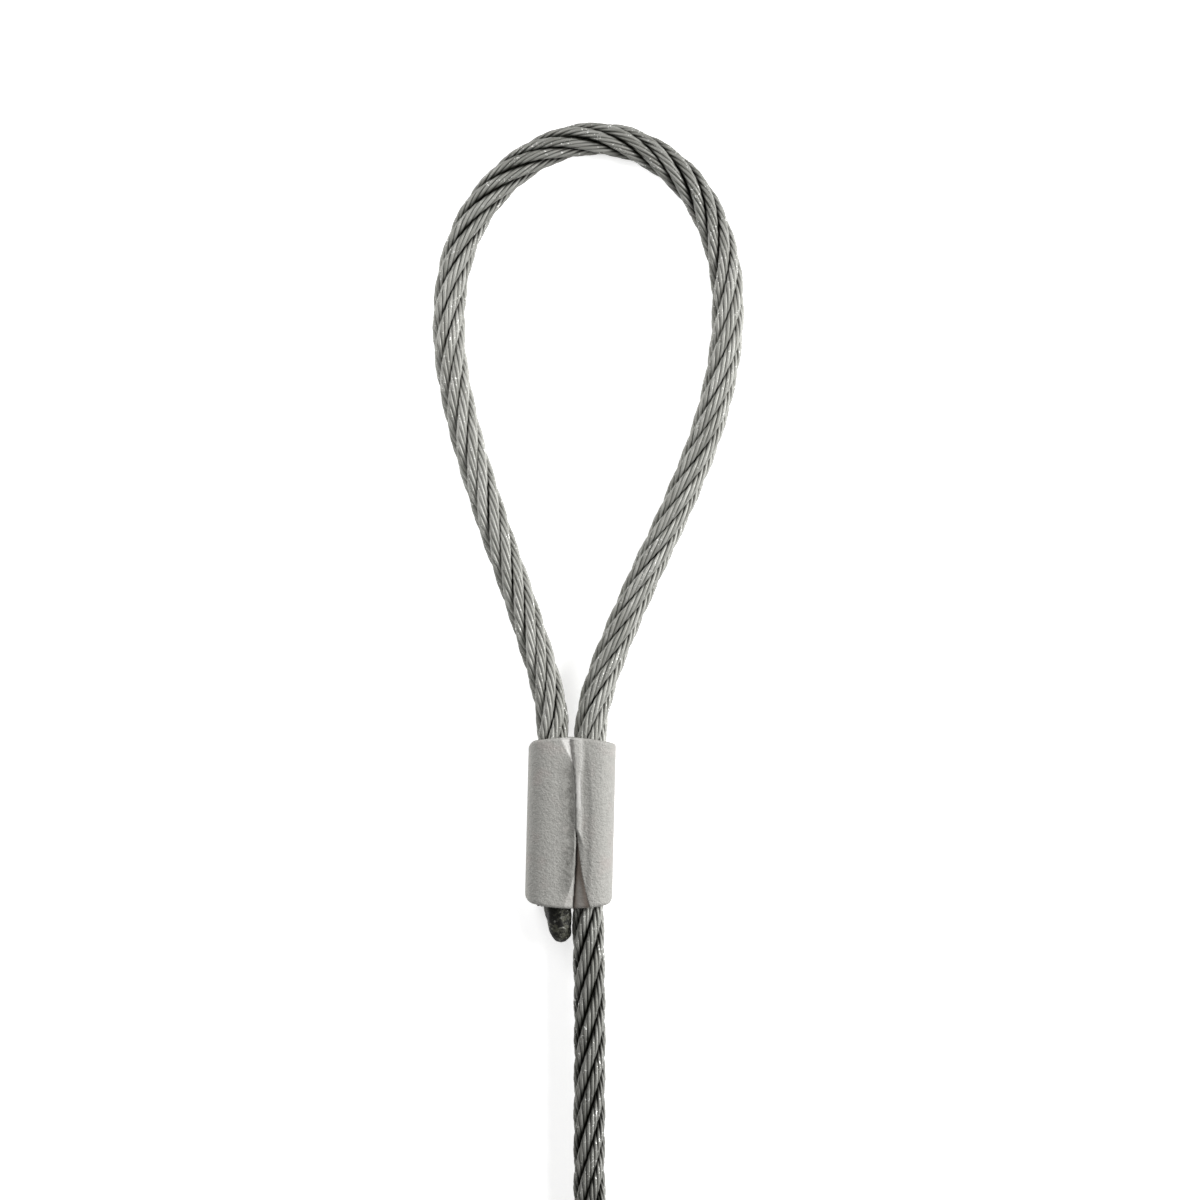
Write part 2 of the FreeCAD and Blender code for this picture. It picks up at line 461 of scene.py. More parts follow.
def route_line(name, points, resolution):
    """A smooth line through the route: a NURBS spline read as a chain of points and edges."""
    curve = bpy.data.curves.new(name, "CURVE")
    curve.dimensions = "3D"
    spline = curve.splines.new("NURBS")
    spline.points.add(len(points) - 1)
    for point, place in zip(spline.points, points):
        point.co = (*place, 1.0)
    spline.order_u = 3
    spline.use_endpoint_u = True
    curve.resolution_u = resolution
    holder = bpy.data.objects.new(name, curve)
    line = bpy.data.meshes.new_from_object(holder)
    bpy.data.objects.remove(holder)
    bpy.data.curves.remove(curve)
    return line


def line_points(line):
    """The points of a line in order."""
    return [vertex.co.copy() for vertex in line.vertices]


def line_length(points):
    """The length along a chain of points."""
    return sum((b - a).length for a, b in zip(points, points[1:]))


def laid_strand_tree():
    """Geometry nodes that lay one strand round a line and its wires round the strand."""
    tree = bpy.data.node_groups.new("laid_strand", "GeometryNodeTree")
    face = tree.interface
    face.new_socket("Line", in_out="INPUT", socket_type="NodeSocketGeometry")
    lengths = ("Strand offset", "Phase", "Rope lay", "Wire diameter", "Wire lay", "Step")
    for name in (*lengths, "Drift"):
        face.new_socket(name, in_out="INPUT", socket_type="NodeSocketFloat")
    for name in ("Outer wires", "Wire sides", "Seed"):
        face.new_socket(name, in_out="INPUT", socket_type="NodeSocketInt")
    face.new_socket("Finish", in_out="INPUT", socket_type="NodeSocketMaterial")
    face.new_socket("Strand", in_out="OUTPUT", socket_type="NodeSocketGeometry")
    graph = Graph(tree)
    source = tree.nodes.new("NodeGroupInput")
    given = {socket.name: Value(graph, socket) for socket in source.outputs if socket.name}

    line = graph.node("GeometryNodeMeshToCurve", None, {"Mesh": given["Line"]})
    line = graph.node(
        "GeometryNodeResampleCurve", {"mode": "LENGTH"}, {"Curve": line, "Length": given["Step"]}
    )
    line = graph.node("GeometryNodeSetCurveNormal", {"mode": "MINIMUM_TWIST"}, {"Curve": line})
    place = graph.node("GeometryNodeInputPosition")

    def stored(geometry, name, value, kind="FLOAT"):
        """The geometry with a value kept at each of its points."""
        return graph.node(
            "GeometryNodeStoreNamedAttribute",
            {"data_type": kind, "domain": "POINT"},
            {"Geometry": geometry, "Name": name, "Value": value},
        )

    def wound(curve, radius, angle):
        """The curve moved off its own line to that radius, at that angle round it."""
        tangent = graph.node("GeometryNodeInputTangent")
        normal = graph.node("GeometryNodeInputNormal")
        side = graph.node(
            "ShaderNodeVectorMath", {"operation": "CROSS_PRODUCT"}, {0: tangent, 1: normal}
        )
        offset = (normal * graph.cos(angle) + side * graph.sin(angle)) * radius
        return graph.node("GeometryNodeSetPosition", None, {"Geometry": curve, "Offset": offset})

    def lay_angle(lay):
        """How far a helix of that lay has turned at each point of the curve."""
        along = graph.node("GeometryNodeSplineParameter", output=1)
        return along / lay * TURN

    def drifting(start, period):
        """A slow wander between -1 and 1 along the strand, its own for each start value."""
        wander = graph.node(
            "ShaderNodeTexNoise",
            {"noise_dimensions": "4D"},
            {"Vector": place, "W": start, "Scale": 1 / period, "Detail": 1.0},
        )
        return wander * 2.0 - 1.0

    def tangent_near(points_away):
        """The line's direction that many points further on."""
        here = graph.node("GeometryNodeInputIndex")
        return graph.node(
            "GeometryNodeFieldAtIndex",
            {"data_type": "FLOAT_VECTOR"},
            {"Index": here + points_away, "Value": graph.node("GeometryNodeInputTangent")},
        )

    line = stored(line, "axis", place, "FLOAT_VECTOR")
    reach = 4
    turned = graph.node(
        "ShaderNodeVectorMath",
        {"operation": "LENGTH"},
        {0: tangent_near(reach) - tangent_near(-reach)},
        output=1,
    )
    bend = turned / (given["Step"] * (2 * reach))
    looseness = given["Drift"] * (1.0 + bend * BEND_LOOSENING)
    angle = lay_angle(given["Rope lay"]) + given["Phase"]
    angle = angle + drifting(given["Seed"] + 0.3, 9 * MM) * looseness
    stands_out = 1.0 + bend * BEND_SWELL
    stands_out = stands_out + drifting(given["Seed"] + 7.6, 12 * MM) * given["Drift"] * 0.2
    strand = wound(line, given["Strand offset"] * stands_out, angle)
    copies = graph.tree.nodes.new("GeometryNodeDuplicateElements")
    copies.domain = "SPLINE"
    tree.links.new(strand.socket, copies.inputs["Geometry"])
    amount = given["Outer wires"] + 1
    tree.links.new(amount.socket, copies.inputs["Amount"])
    number = Value(graph, copies.outputs["Duplicate Index"])
    outer = graph.node(
        "ShaderNodeMath", {"operation": "LESS_THAN"}, {0: number, 1: given["Outer wires"]}
    )
    wires = wound(
        Value(graph, copies.outputs["Geometry"]),
        given["Wire diameter"] * outer,
        number / given["Outer wires"] * TURN - lay_angle(given["Wire lay"])
        + drifting(number * 3.7 + given["Seed"] * 11.0, 5 * MM) * (given["Drift"] * 2.0),
    )
    picked = {"ID": number, "Seed": given["Seed"]}
    wires = stored(wires, "tone", graph.node("FunctionNodeRandomValue", None, picked, output=1))
    section = graph.node(
        "GeometryNodeCurvePrimitiveCircle",
        None,
        {"Resolution": given["Wire sides"], "Radius": given["Wire diameter"] * 0.5},
    )
    skin = graph.node(
        "GeometryNodeCurveToMesh",
        None,
        {"Curve": wires, "Profile Curve": section, "Fill Caps": True},
    )
    axis = graph.node(
        "GeometryNodeInputNamedAttribute", {"data_type": "FLOAT_VECTOR"}, {"Name": "axis"}
    )
    depth = graph.node(
        "ShaderNodeVectorMath", {"operation": "DISTANCE"}, {0: axis, 1: place}, output=1
    )
    skin = stored(skin, "depth", depth)
    skin = graph.node("GeometryNodeRemoveAttribute", None, {"Geometry": skin, "Name": "axis"})
    skin = graph.node("GeometryNodeSetShadeSmooth", None, {"Geometry": skin})
    skin = graph.node("GeometryNodeRealizeInstances", None, {"Geometry": skin})
    skin = graph.node(
        "GeometryNodeSetMaterial", None, {"Geometry": skin, "Material": given["Finish"]}
    )
    result = tree.nodes.new("NodeGroupOutput")
    tree.links.new(skin.socket, result.inputs["Strand"])
    return tree


def grown(name, line, tree, values):
    """A plain mesh object grown from a line by a geometry tree with named input values."""
    piece = linked(name, line)
    modifier = piece.modifiers.new("growth", "NODES")
    modifier.node_group = tree
    for socket in tree.interface.items_tree:
        if socket.name in values:
            modifier[socket.identifier] = values[socket.name]
    finished_mesh(piece).name = name
    return piece


def make_strands(name, points, sizes, finish, resolution, step):
    """The core strand and the outer strands along one stretch of the rope, and its line."""
    tree = bpy.data.node_groups.get("laid_strand") or laid_strand_tree()
    line = route_line(name, points, resolution)
    path = line_points(line)
    strands = []
    for number in range(sizes.outer_strands + 1):
        core = number == 0
        values = {
            "Strand offset": 0.0 if core else sizes.strand_offset,
            "Phase": TURN * number / sizes.outer_strands,
            "Rope lay": sizes.rope_lay,
            "Wire diameter": sizes.wire_diameter,
            "Wire lay": sizes.wire_lay,
            "Step": step,
            "Drift": sizes.strand_drift,
            "Outer wires": sizes.outer_wires,
            "Wire sides": sizes.wire_sides,
            "Seed": number,
            "Finish": finish,
        }
        label = f"{name}_core_strand" if core else f"{name}_strand_{number}"
        strand = grown(label, line.copy(), tree, values)
        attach(strand, BODY)
        strands.append(strand)
    bpy.data.meshes.remove(line)
    return strands, path


# ---- Ferrule ----


def seam_x(y):
    """Where the two flaps meet, in mm across the ferrule, at a place in mm along it."""
    return 0.57 - 0.024 * y - 0.0056 * y ** 2 + 0.05 * noise.noise(Vector((0.0, 0.7 * y, 3.0)))


def hump(x, middle, half_width):
    """1 at the middle and 0 from half_width on, with a smooth shape between."""
    return smooth(1 - abs(x - middle) / half_width)


def stretch(y, low, high, ease=0.9):
    """1 between low and high and 0 outside, eased at both ends."""
    return smooth((y - low) / ease + 0.5) * smooth((high - y) / ease + 0.5)


def flap_face(s, y):
    """What the pressed flaps do beside the seam, at s mm across from it and y mm along.

    Gives the rise in mm over the lobes, how shear-cut the face is with its painted highlight, and
    the painted shade of the valleys and of the opened corner.
    """
    if s < 0:
        # The flaps' shear-cut end faces, brightened partly as painted highlight.
        at_eye, at_mouth = (0.41 * (y - 5.1), 0.13, 0.75), (0.24 * (-4.5 - y), 0.08, 0.2)
        for width, depth, bright in (at_eye, at_mouth):
            if -s < width:
                return -depth * (1 + s / width) * min(width, 1.0), bright, 0.0, 0.0
    opened = -1.1 - y
    width = 0.08 + 0.09 * opened + 0.0205 * opened ** 2
    if opened > 0 and 0 <= s < width:
        near_seam = 1 - s / width
        # The opened corner: sunk in, with painted shade beside the seam and brown painted shade
        # over it, lighter in its middle.
        softened = hump(s, 0.4 * width, 0.45 * width) * smooth((-4.4 - y) / 2.0)
        return -0.08 - 0.30 * near_seam, 0.5, 0.35 * near_seam, 0.9 - 0.5 * softened
    uneven = 0.8 + 0.45 * noise.noise(Vector((2.0, 0.9 * y, 0.0)))
    middle = stretch(y, -3.0, 5.2, 2.6)
    ridge = hump(s, -0.13, 0.2) * middle * uneven
    strip = level = 0.0
    if s > 0:
        wide = smooth((y - 3.4) / 3.5)
        strip_edge = 0.60 + 0.42 * wide
        on_strip = smooth((y + 0.9 + 2.2 * s) / 0.5)
        strip = smooth((strip_edge - s) / 0.2) * on_strip
        level = (0.42 + 0.04 * wide) * max(1 - s / (strip_edge + 0.05), 0.0) * on_strip
    rise = 0.10 * ridge + level - 0.10 * hump(s, -0.66, 0.6) * middle
    rise -= 0.08 * hump(s, 1.05, 0.5) * stretch(y, -9.0, 6.0, 3.0)
    # Painted shade along the valleys on both sides of the seam, less on the ridge and the strip.
    valley = 0.78 * hump(s, -0.66, 1.15) * stretch(y, -6.6, 5.6, 2.6) * uneven
    valley += 0.34 * hump(s, 0.95, 0.65) * stretch(y, -9.0, 6.0, 3.0) * uneven
    crease_shade = valley * (1 - 0.8 * ridge) * (1 - strip)
    # Painted highlight on the ridge and on the strip, strongest from 1.4 to 4.2 mm along.
    shine = 0.12 * ridge + strip * (0.35 + 0.5 * stretch(y, 1.4, 4.2))
    return rise, shine, crease_shade, 0.0


def ferrule_columns(half_width, fine, coarse):
    """Places across the ferrule, close together round the seam and at the sides."""
    places = []
    x = -half_width * 0.995
    while x < half_width * 0.995:
        places.append(x)
        near_seam = abs(x - 0.4 * MM) < 2.2 * MM
        near_side = abs(x) > half_width - 0.7 * MM
        x += fine if near_seam or near_side else coarse
    return [-half_width, *places, half_width * 0.995, half_width]


def ferrule_top(x, y, sizes):
    """Height of the lobes' outer face at a place, and its shear-cut faces, painted highlight and
    painted shade there.
    """
    lobe = ROPE_R + sizes.ferrule_wall
    seam = seam_x(y / MM) * MM
    side = 1 if x > seam else -1
    reach = (x - side * LEG_X) * side
    if reach < 0:
        reach *= LEG_X / abs(seam - side * LEG_X)
        height = lobe * (1 - CREASE_SHARE[side] * (1 - math.sqrt(1 - (reach / lobe) ** 2)))
    else:
        height = lobe * (1 - min(reach / lobe, 1.0) ** LOBE_SQUARENESS) ** (1 / LOBE_SQUARENESS)
    across = (x - seam) / MM
    rise, sheared_and_highlight, crease_shade, corner_shade = flap_face(across, y / MM)
    opening = 0.02 + 0.28 * smooth((-0.6 - y / MM) / 2.0)
    # The slit along the seam is painted dark too: painted shade.
    slit = opening * math.exp(-((across / 0.07) ** 2)) * smooth((7.4 - y / MM) / 2.5)
    z = LEG_Z + height + min(rise, 0.5) * MM - slit * MM
    return z, sheared_and_highlight, max(crease_shade, slit * 2.0), corner_shade


def ferrule_mesh(sizes):
    """The pressed sleeve as one closed mesh, before its bores are cut."""
    lobe = ROPE_R + sizes.ferrule_wall
    half_width = LEG_X + lobe
    half_flat = LEG_X + math.sqrt(max(lobe ** 2 - LEG_Z ** 2, 0.0))
    columns = ferrule_columns(half_width, 0.06 * MM, 0.16 * MM)
    rows = 140
    ease = sizes.ferrule_ease
    verts, states = [], []

    def end_y(x, end):
        """How far the ferrule reaches at x: bulged in the middle, its corners worn unevenly."""
        corner = sizes.ferrule_corner * CORNER_WEAR[x > 0, end > 0]
        reach = sizes.ferrule_length / 2 - sizes.ferrule_bulge * (x / half_width) ** 2
        past = max(abs(x) - (half_width - corner), 0.0)
        return reach - (corner - math.sqrt(max(corner ** 2 - past ** 2, 0.0)))

    def bottom(x):
        """Height of the ferrule's back at x: flat, then round the lobes."""
        if abs(x) <= half_flat:
            return 0.0
        return LEG_Z - math.sqrt(max(lobe ** 2 - (abs(x) - LEG_X) ** 2, 0.0))

    stations = [
        0.75 * (2 * j / rows - 1) - 0.25 * math.cos(math.pi * j / rows) for j in range(rows + 1)
    ]
    for t in stations:
        for x in columns:
            end = end_y(x, t)
            y = t * end
            z, *state = ferrule_top(x, y, sizes)
            past = max(abs(y) - (end - ease), 0.0)
            drop = ease - math.sqrt(max(ease ** 2 - past ** 2, 0.0))
            wave = noise.noise(Vector((x, y, 0.5)) * 900) * 0.012 * MM
            z += (wave - drop) * min((z - LEG_Z) / lobe, 1.0)
            verts.append((x, y, z))
            states.append(state)
    top_count = len(verts)
    for t in stations:
        for x in columns:
            verts.append((x, t * end_y(x, t), bottom(x)))
            states.append((0.0, 0.0, 0.0))
    wide = len(columns)
    faces = []
    for j in range(rows):
        for i in range(wide - 1):
            a, b = j * wide + i, (j + 1) * wide + i
            faces.append((a, a + 1, b + 1, b))
            a, b = a + top_count, b + top_count
            faces.append((a, b, b + 1, a + 1))
    for j in range(rows):
        a, b = j * wide, (j + 1) * wide
        faces.append((a, b, b + top_count, a + top_count))
        a, b = a + wide - 1, b + wide - 1
        faces.append((a, a + top_count, b + top_count, b))
    for i in range(wide - 1):
        a = i
        faces.append((a, a + top_count, a + top_count + 1, a + 1))
        a = rows * wide + i
        faces.append((a, a + 1, a + top_count + 1, a + top_count))
    mesh = bpy.data.meshes.new("ferrule_sleeve")
    mesh.from_pydata(verts, [], faces)
    for label, values in zip(("sheared_and_highlight", "crease_shade", "corner_shade"), zip(*states)):
        attribute = mesh.attributes.new(label, "FLOAT", "POINT")
        attribute.data.foreach_set("value", values)
    return mesh


def bore_cutter():
    """Two round bars that cut the legs' bores."""
    sides = 48
    bore = ROPE_R + REST_GAP
    reach = 12 * MM
    verts, faces = [], []
    for x in (-LEG_X, LEG_X):
        first = len(verts)
        for y in (-reach, reach):
            for i in range(sides):
                a = TURN * i / sides
                verts.append((x + bore * math.cos(a), y, LEG_Z + bore * math.sin(a)))
        for i in range(sides):
            j = (i + 1) % sides
            faces.append((first + i, first + j, first + sides + j, first + sides + i))
        faces.append(tuple(first + i for i in reversed(range(sides))))
        faces.append(tuple(first + sides + i for i in range(sides)))
    mesh = bpy.data.meshes.new("bore_cutter")
    mesh.from_pydata(verts, [], faces)
    mesh.validate()
    return mesh


def cleaned(mesh, merge=1e-7):
    """The mesh with doubled points merged and every face turned outwards."""
    work = bmesh.new()
    work.from_mesh(mesh)
    bmesh.ops.remove_doubles(work, verts=work.verts, dist=merge)
    bmesh.ops.recalc_face_normals(work, faces=work.faces)
    work.to_mesh(mesh)
    work.free()
    return mesh


def linked(name, mesh):
    """A new object in the scene."""
    made = bpy.data.objects.new(name, mesh)
    bpy.context.scene.collection.objects.link(made)
    return made


def finished_mesh(piece):
    """A piece's mesh with its modifiers applied."""
    bpy.context.view_layer.update()
    depsgraph = bpy.context.evaluated_depsgraph_get()
    mesh = bpy.data.meshes.new_from_object(
        piece.evaluated_get(depsgraph), preserve_all_data_layers=True, depsgraph=depsgraph
    )
    piece.modifiers.clear()
    piece.data = mesh
    return mesh


def make_ferrule(sizes, finish):
    """The ferrule: outer form, pressed slightly askew and bored for the two legs."""
    sleeve = linked("ferrule_sleeve", cleaned(ferrule_mesh(sizes)))
    lean = -math.radians(sizes.ferrule_lean)
    for vertex in sleeve.data.vertices:
        x, y, z = vertex.co
        vertex.co = (
            x * math.cos(lean) - y * math.sin(lean),
            x * math.sin(lean) + y * math.cos(lean),
            z,
        )
    cutter = linked("bore_cutter", cleaned(bore_cutter()))
    cutter.hide_render = True
    bore = sleeve.modifiers.new("bores", "BOOLEAN")
    bore.operation = "DIFFERENCE"
    bore.solver = "EXACT"
    bore.object = cutter
    finished_mesh(sleeve)
    bpy.data.objects.remove(cutter)
    sleeve.data.polygons.foreach_set("use_smooth", [True] * len(sleeve.data.polygons))
    sleeve.data.materials.clear()
    sleeve.data.materials.append(finish)
    return sleeve


# ---- Fused ends and ties ----


def ring_skin(name, rings):
    """A closed skin over rings of points, each with a point at its middle for the two ends."""
    sides = len(rings[0])
    verts = [point for ring in rings for point in ring]
    faces = []
    for j in range(len(rings) - 1):
        for i in range(sides):
            k = (i + 1) % sides
            a, b = j * sides, (j + 1) * sides
            faces.append((a + i, a + k, b + k, b + i))
    for ring, first in ((rings[0], 0), (rings[-1], (len(rings) - 1) * sides)):
        middle = sum(ring, Vector()) / sides
        verts.append(middle)
        for i in range(sides):
            faces.append((first + i, first + (i + 1) % sides, len(verts) - 1))
    mesh = bpy.data.meshes.new(name)
    mesh.from_pydata([tuple(v) for v in verts], [], faces)
    cleaned(mesh)
    mesh.polygons.foreach_set("use_smooth", [True] * len(mesh.polygons))
    return mesh


def make_fused_end(name, base, direction, lean, length, thick, finish, seed):
    """A rope end fused to one lump: strands still faintly showing, a blunt slanted tip."""
    side = direction.cross(Vector((0, 0, 1))).normalized()
    up = side.cross(direction).normalized()
    stations, sides = 34, 48
    rings = []
    for j in range(stations + 1):
        t = j / stations
        tip = max(0.0, (t - 0.62) / 0.38)
        radius = thick / 2 * (1 - 0.24 * t ** 0.6) * math.sqrt(max(1 - tip ** 2.4, 0.0004))
        centre = base + direction * (length * t) + lean * math.sqrt(t)
        ring = []
        for i in range(sides):
            a = TURN * i / sides
            strands = 0.05 * math.cos(6 * a + 2.2 * t + seed) * (1 - 0.6 * t)
            way = side * math.cos(a) + up * math.sin(a)
            rough = noise.fractal((centre + way * radius) * 900 + Vector((seed, 0, 0)), 0.8, 2.1, 3)
            reach = radius * (1 + strands + 0.09 * rough)
            ring.append(centre + way * reach)
        rings.append(ring)
    lump = linked(name, ring_skin(name, rings))
    lump.data.materials.append(finish)
    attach(lump, BODY)
    return lump


def turn_centres(angle):
    """Centres of the rope's turns in the coil's section at that angle: outwards and up."""
    wound = (COIL_START_ANGLE - angle) % 360 / 360
    centres = []
    for layer in range(COIL_LAYERS):
        for turn in range(TURNS_PER_LAYER):
            across = (TURNS_PER_LAYER / 2 - wound - turn) * ROPE_D
            height = COIL_BOTTOM + ROPE_R + layer * ROPE_D
            centres.append((-across if layer % 2 else across, height))
    return centres


def tie_loop(angle, off):
    """The path of a tie drawn tight round the turns: places, and the ways out from them."""
    centres = turn_centres(angle)
    loop = []
    for step in range(72):
        a = TURN * step / 72
        way = (math.cos(a), math.sin(a))
        out, up = max(centres, key=lambda c: c[0] * way[0] + c[1] * way[1])
        place = on_coil(COIL_MIDDLE_R + out + off * way[0], angle, up + off * way[1])
        flat = on_coil(way[0], angle, 0.0) - on_coil(0.0, angle, 0.0)
        loop.append((place, flat + Vector((0, 0, way[1]))))
    return loop


def ribbon_ring(place, outwards, along, width, thickness):
    """Section of a twist tie: a flat ribbon with the round of its wire along the middle."""
    ring = []
    for i in range(16):
        a = TURN * i / 16
        flat = math.cos(a) * width / 2
        swell = 1.0 if abs(math.cos(a)) < 0.45 else 0.5
        ring.append(place + along * flat + outwards * (math.sin(a) * thickness / 2 * swell))
    return ring


def make_tie(node, sizes, finish):
    """A coated twist tie: a ribbon round the turns and its two ends twisted together."""
    arm = box_middle(node) - COIL_MIDDLE
    angle = math.degrees(math.atan2(arm.y, arm.x))
    thickness = COIL_BOTTOM
    path = tie_loop(angle, ROPE_R + thickness / 2)
    along = Vector((-math.sin(math.radians(angle)), math.cos(math.radians(angle)), 0))
    sides = 16
    verts, faces = [], []
    for place, outwards in path:
        verts.extend(ribbon_ring(place, outwards, along, sizes.tie_width, thickness * 0.9))
    count = len(path)
    for j in range(count):
        k = (j + 1) % count
        for i in range(sides):
            m = (i + 1) % sides
            faces.append((j * sides + i, j * sides + m, k * sides + m, k * sides + i))
    mesh = bpy.data.meshes.new(node + "_ribbon")
    mesh.from_pydata([tuple(v) for v in verts], [], faces)
    cleaned(mesh)
    mesh.polygons.foreach_set("use_smooth", [True] * len(mesh.polygons))
    ribbon = linked(node + "_ribbon", mesh)
    inner = min(out for out, _ in turn_centres(angle)) - ROPE_R - thickness / 2
    root = on_coil(COIL_MIDDLE_R + inner, angle, (COIL_BOTTOM + COIL_TOP) / 2)
    outward = -(on_coil(1.0, angle, 0.0) - on_coil(0.0, angle, 0.0))
    up = Vector((0, 0, 1))
    ends = []
    for half in range(2):
        rings = []
        for j in range(41):
            t = j / 40
            turn = TURN * (2.2 * t + half / 2)
            way = along * math.cos(turn) + up * math.sin(turn)
            across = outward.cross(way)
            place = root + outward * (sizes.twist_length * t) + way * (0.33 * MM)
            rings.append(
                [
                    place
                    + way * (0.3 * MM * math.cos(TURN * i / 10))
                    + across * (0.55 * MM * math.sin(TURN * i / 10))
                    for i in range(10)
                ]
            )
        end = linked(f"{node}_end_{half + 1}", ring_skin(f"{node}_end_{half + 1}", rings))
        ends.append(end)
    pieces = [ribbon, *ends]
    for piece in pieces:
        piece.data.materials.append(finish)
        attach(piece, BODY)
    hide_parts(node)
    return pieces


# ---- Settings ----


def number_setting(name, text, value, **more):
    """A number that a user can change."""
    return bpy.props.FloatProperty(name=name, description=text, default=value, **more)


def length_setting(name, text, value):
    """A length in metres that a user can change."""
    return number_setting(
        name, text, value, min=0.0, precision=5, subtype="DISTANCE", unit="LENGTH"
    )


def count_setting(name, text, value, low, high):
    """A whole number that a user can change."""
    return bpy.props.IntProperty(name=name, description=text, default=value, min=low, max=high)


def colour_setting(name, text, value):
    """A colour that a user can change."""
    return bpy.props.FloatVectorProperty(
        name=name, description=text, default=value, size=3, min=0.0, max=1.0, subtype="COLOR"
    )


class SlingSizes(bpy.types.PropertyGroup):
    """Sizes of the rope, the ferrule and the ties."""

    strand_offset: length_setting("Strand offset", "From rope's axis to strand's", 0.344 * ROPE_D)
    wire_diameter: length_setting("Wire diameter", "Diameter of each wire", 0.1135 * ROPE_D)
    rope_lay: length_setting("Rope lay", "One turn of a strand round the rope", 20.7 * MM)
    wire_lay: length_setting("Wire lay", "One turn of a wire round its strand", 7.2 * MM)
    fine_step: length_setting("Fine step", "Step along the strands of the eye", 0.45 * MM)
    coarse_step: length_setting("Coarse step", "Step along the strands of the coil", 0.6 * MM)
    strand_drift: number_setting(
        "Strand drift", "How far strands wander in their lay", 0.12, subtype="ANGLE"
    )
    outer_strands: count_setting("Outer strands", "Strands round the core strand", 6, 3, 12)
    outer_wires: count_setting("Outer wires", "Wires round a strand's middle wire", 6, 3, 12)
    wire_sides: count_setting("Wire sides", "Sides of each wire's section", 6, 4, 16)
    ferrule_length: length_setting("Ferrule length", "Over the middle of its ends", 16.0 * MM)
    ferrule_wall: length_setting("Ferrule wall", "Metal over each leg", 1.0 * MM)
    ferrule_bulge: length_setting("End bulge", "Middle of an end beyond its corners", 0.55 * MM)
    ferrule_corner: length_setting("Corner radius", "Radius of the corners from above", 0.7 * MM)
    ferrule_ease: length_setting("End easing", "Rounding of the outer rims of its ends", 0.25 * MM)
    ferrule_lean: number_setting("Ferrule lean", "Degrees out of line with the rope", 1.4)
    tie_width: length_setting("Tie width", "Width of a tie's ribbon", 2.8 * MM)
    fused_length: length_setting("Fused length", "Length of each fused end", 3.15 * MM)
    twist_length: length_setting("Twist length", "Twisted ends of a tie", 5.0 * MM)


class SlingColours(bpy.types.PropertyGroup):
    """Colours of the finishes."""

    wire_light: colour_setting("Pale zinc", "Brighter wires", (0.46, 0.46, 0.43))
    wire_dark: colour_setting("Dull zinc", "Duller wires", (0.27, 0.27, 0.245))
    # Painted shade: the dark colour of the gaps between the strands, and of the darkened crown and
    # standing rope.
    wire_painted_shade: colour_setting("Oil", "Dirt between the strands", (0.012, 0.012, 0.007))
    # Painted highlight: the colour of the small glints on the wires' crowns.
    wire_glint: colour_setting("Glint", "Small bare spots on the wires", (0.95, 0.95, 0.92))
    alloy_light: colour_setting("Pale alloy", "Ferrule, high grain", (0.44, 0.435, 0.41))
    alloy_dark: colour_setting("Dark alloy", "Ferrule, low grain", (0.33, 0.325, 0.305))
    alloy_pink: colour_setting("Warm alloy", "Faint warm patches", (0.44, 0.38, 0.36))
    # Bright shear-cut faces, and the painted highlight on the strip and ridge beside the seam.
    alloy_bright: colour_setting("Sheared alloy", "Smooth sheared faces", (0.66, 0.65, 0.63))
    # Dark pits, and painted shade along the valleys and in the seam.
    alloy_pits_and_shade: colour_setting("Grime", "Ferrule, along the valleys", (0.10, 0.098, 0.088))
    # Painted shade, tinted brown, in the opened corner of a flap.
    alloy_corner_shade: colour_setting("Stained alloy", "The opened corner of a flap", (0.18, 0.144, 0.12))
    scorch_black: colour_setting("Scorch", "Fused ends, low parts", (0.006, 0.006, 0.004))
    scorch_olive: colour_setting("Scale", "Fused ends, high parts", (0.075, 0.075, 0.055))
    scorch_fleck: colour_setting("Bare fleck", "Fused ends, small bare spots", (0.32, 0.32, 0.29))
    tie: colour_setting("Tie", "Coating of the twist ties", (0.78, 0.78, 0.76))
    tie_worn: colour_setting("Worn tie", "Handled patches of the coating", (0.62, 0.62, 0.60))
    floor: colour_setting("Floor", "The surface under the sling", (0.93, 0.93, 0.93))


class SlingStage(bpy.types.PropertyGroup):
    """The floor, the lights and the camera."""

    view_width: length_setting("View width", "Width of floor that the camera sees", 112.5 * MM)
    view_x: number_setting("View X", "Middle of the view", 2.77 * MM, unit="LENGTH", precision=5)
    view_y: number_setting("View Y", "Middle of the view", 20.86 * MM, unit="LENGTH", precision=5)
    camera_height: length_setting("Camera height", "Above the rope's middle", 0.8)
    key_power: number_setting("Key light", "Watts", 2.03, min=0.0)
    fill_power: number_setting("Fill light", "Watts", 0.10, min=0.0)
    sky: number_setting("Sky", "Strength all round", 0.15, min=0.0)
    table_glow: number_setting("Table glow", "Light that the table gives off", 0.64, min=0.0)


# ---- Operators ----


def finish_named(name, maker, colours):
    """A finish, made the first time that it is asked for."""
    return bpy.data.materials.get(name) or maker(colours)


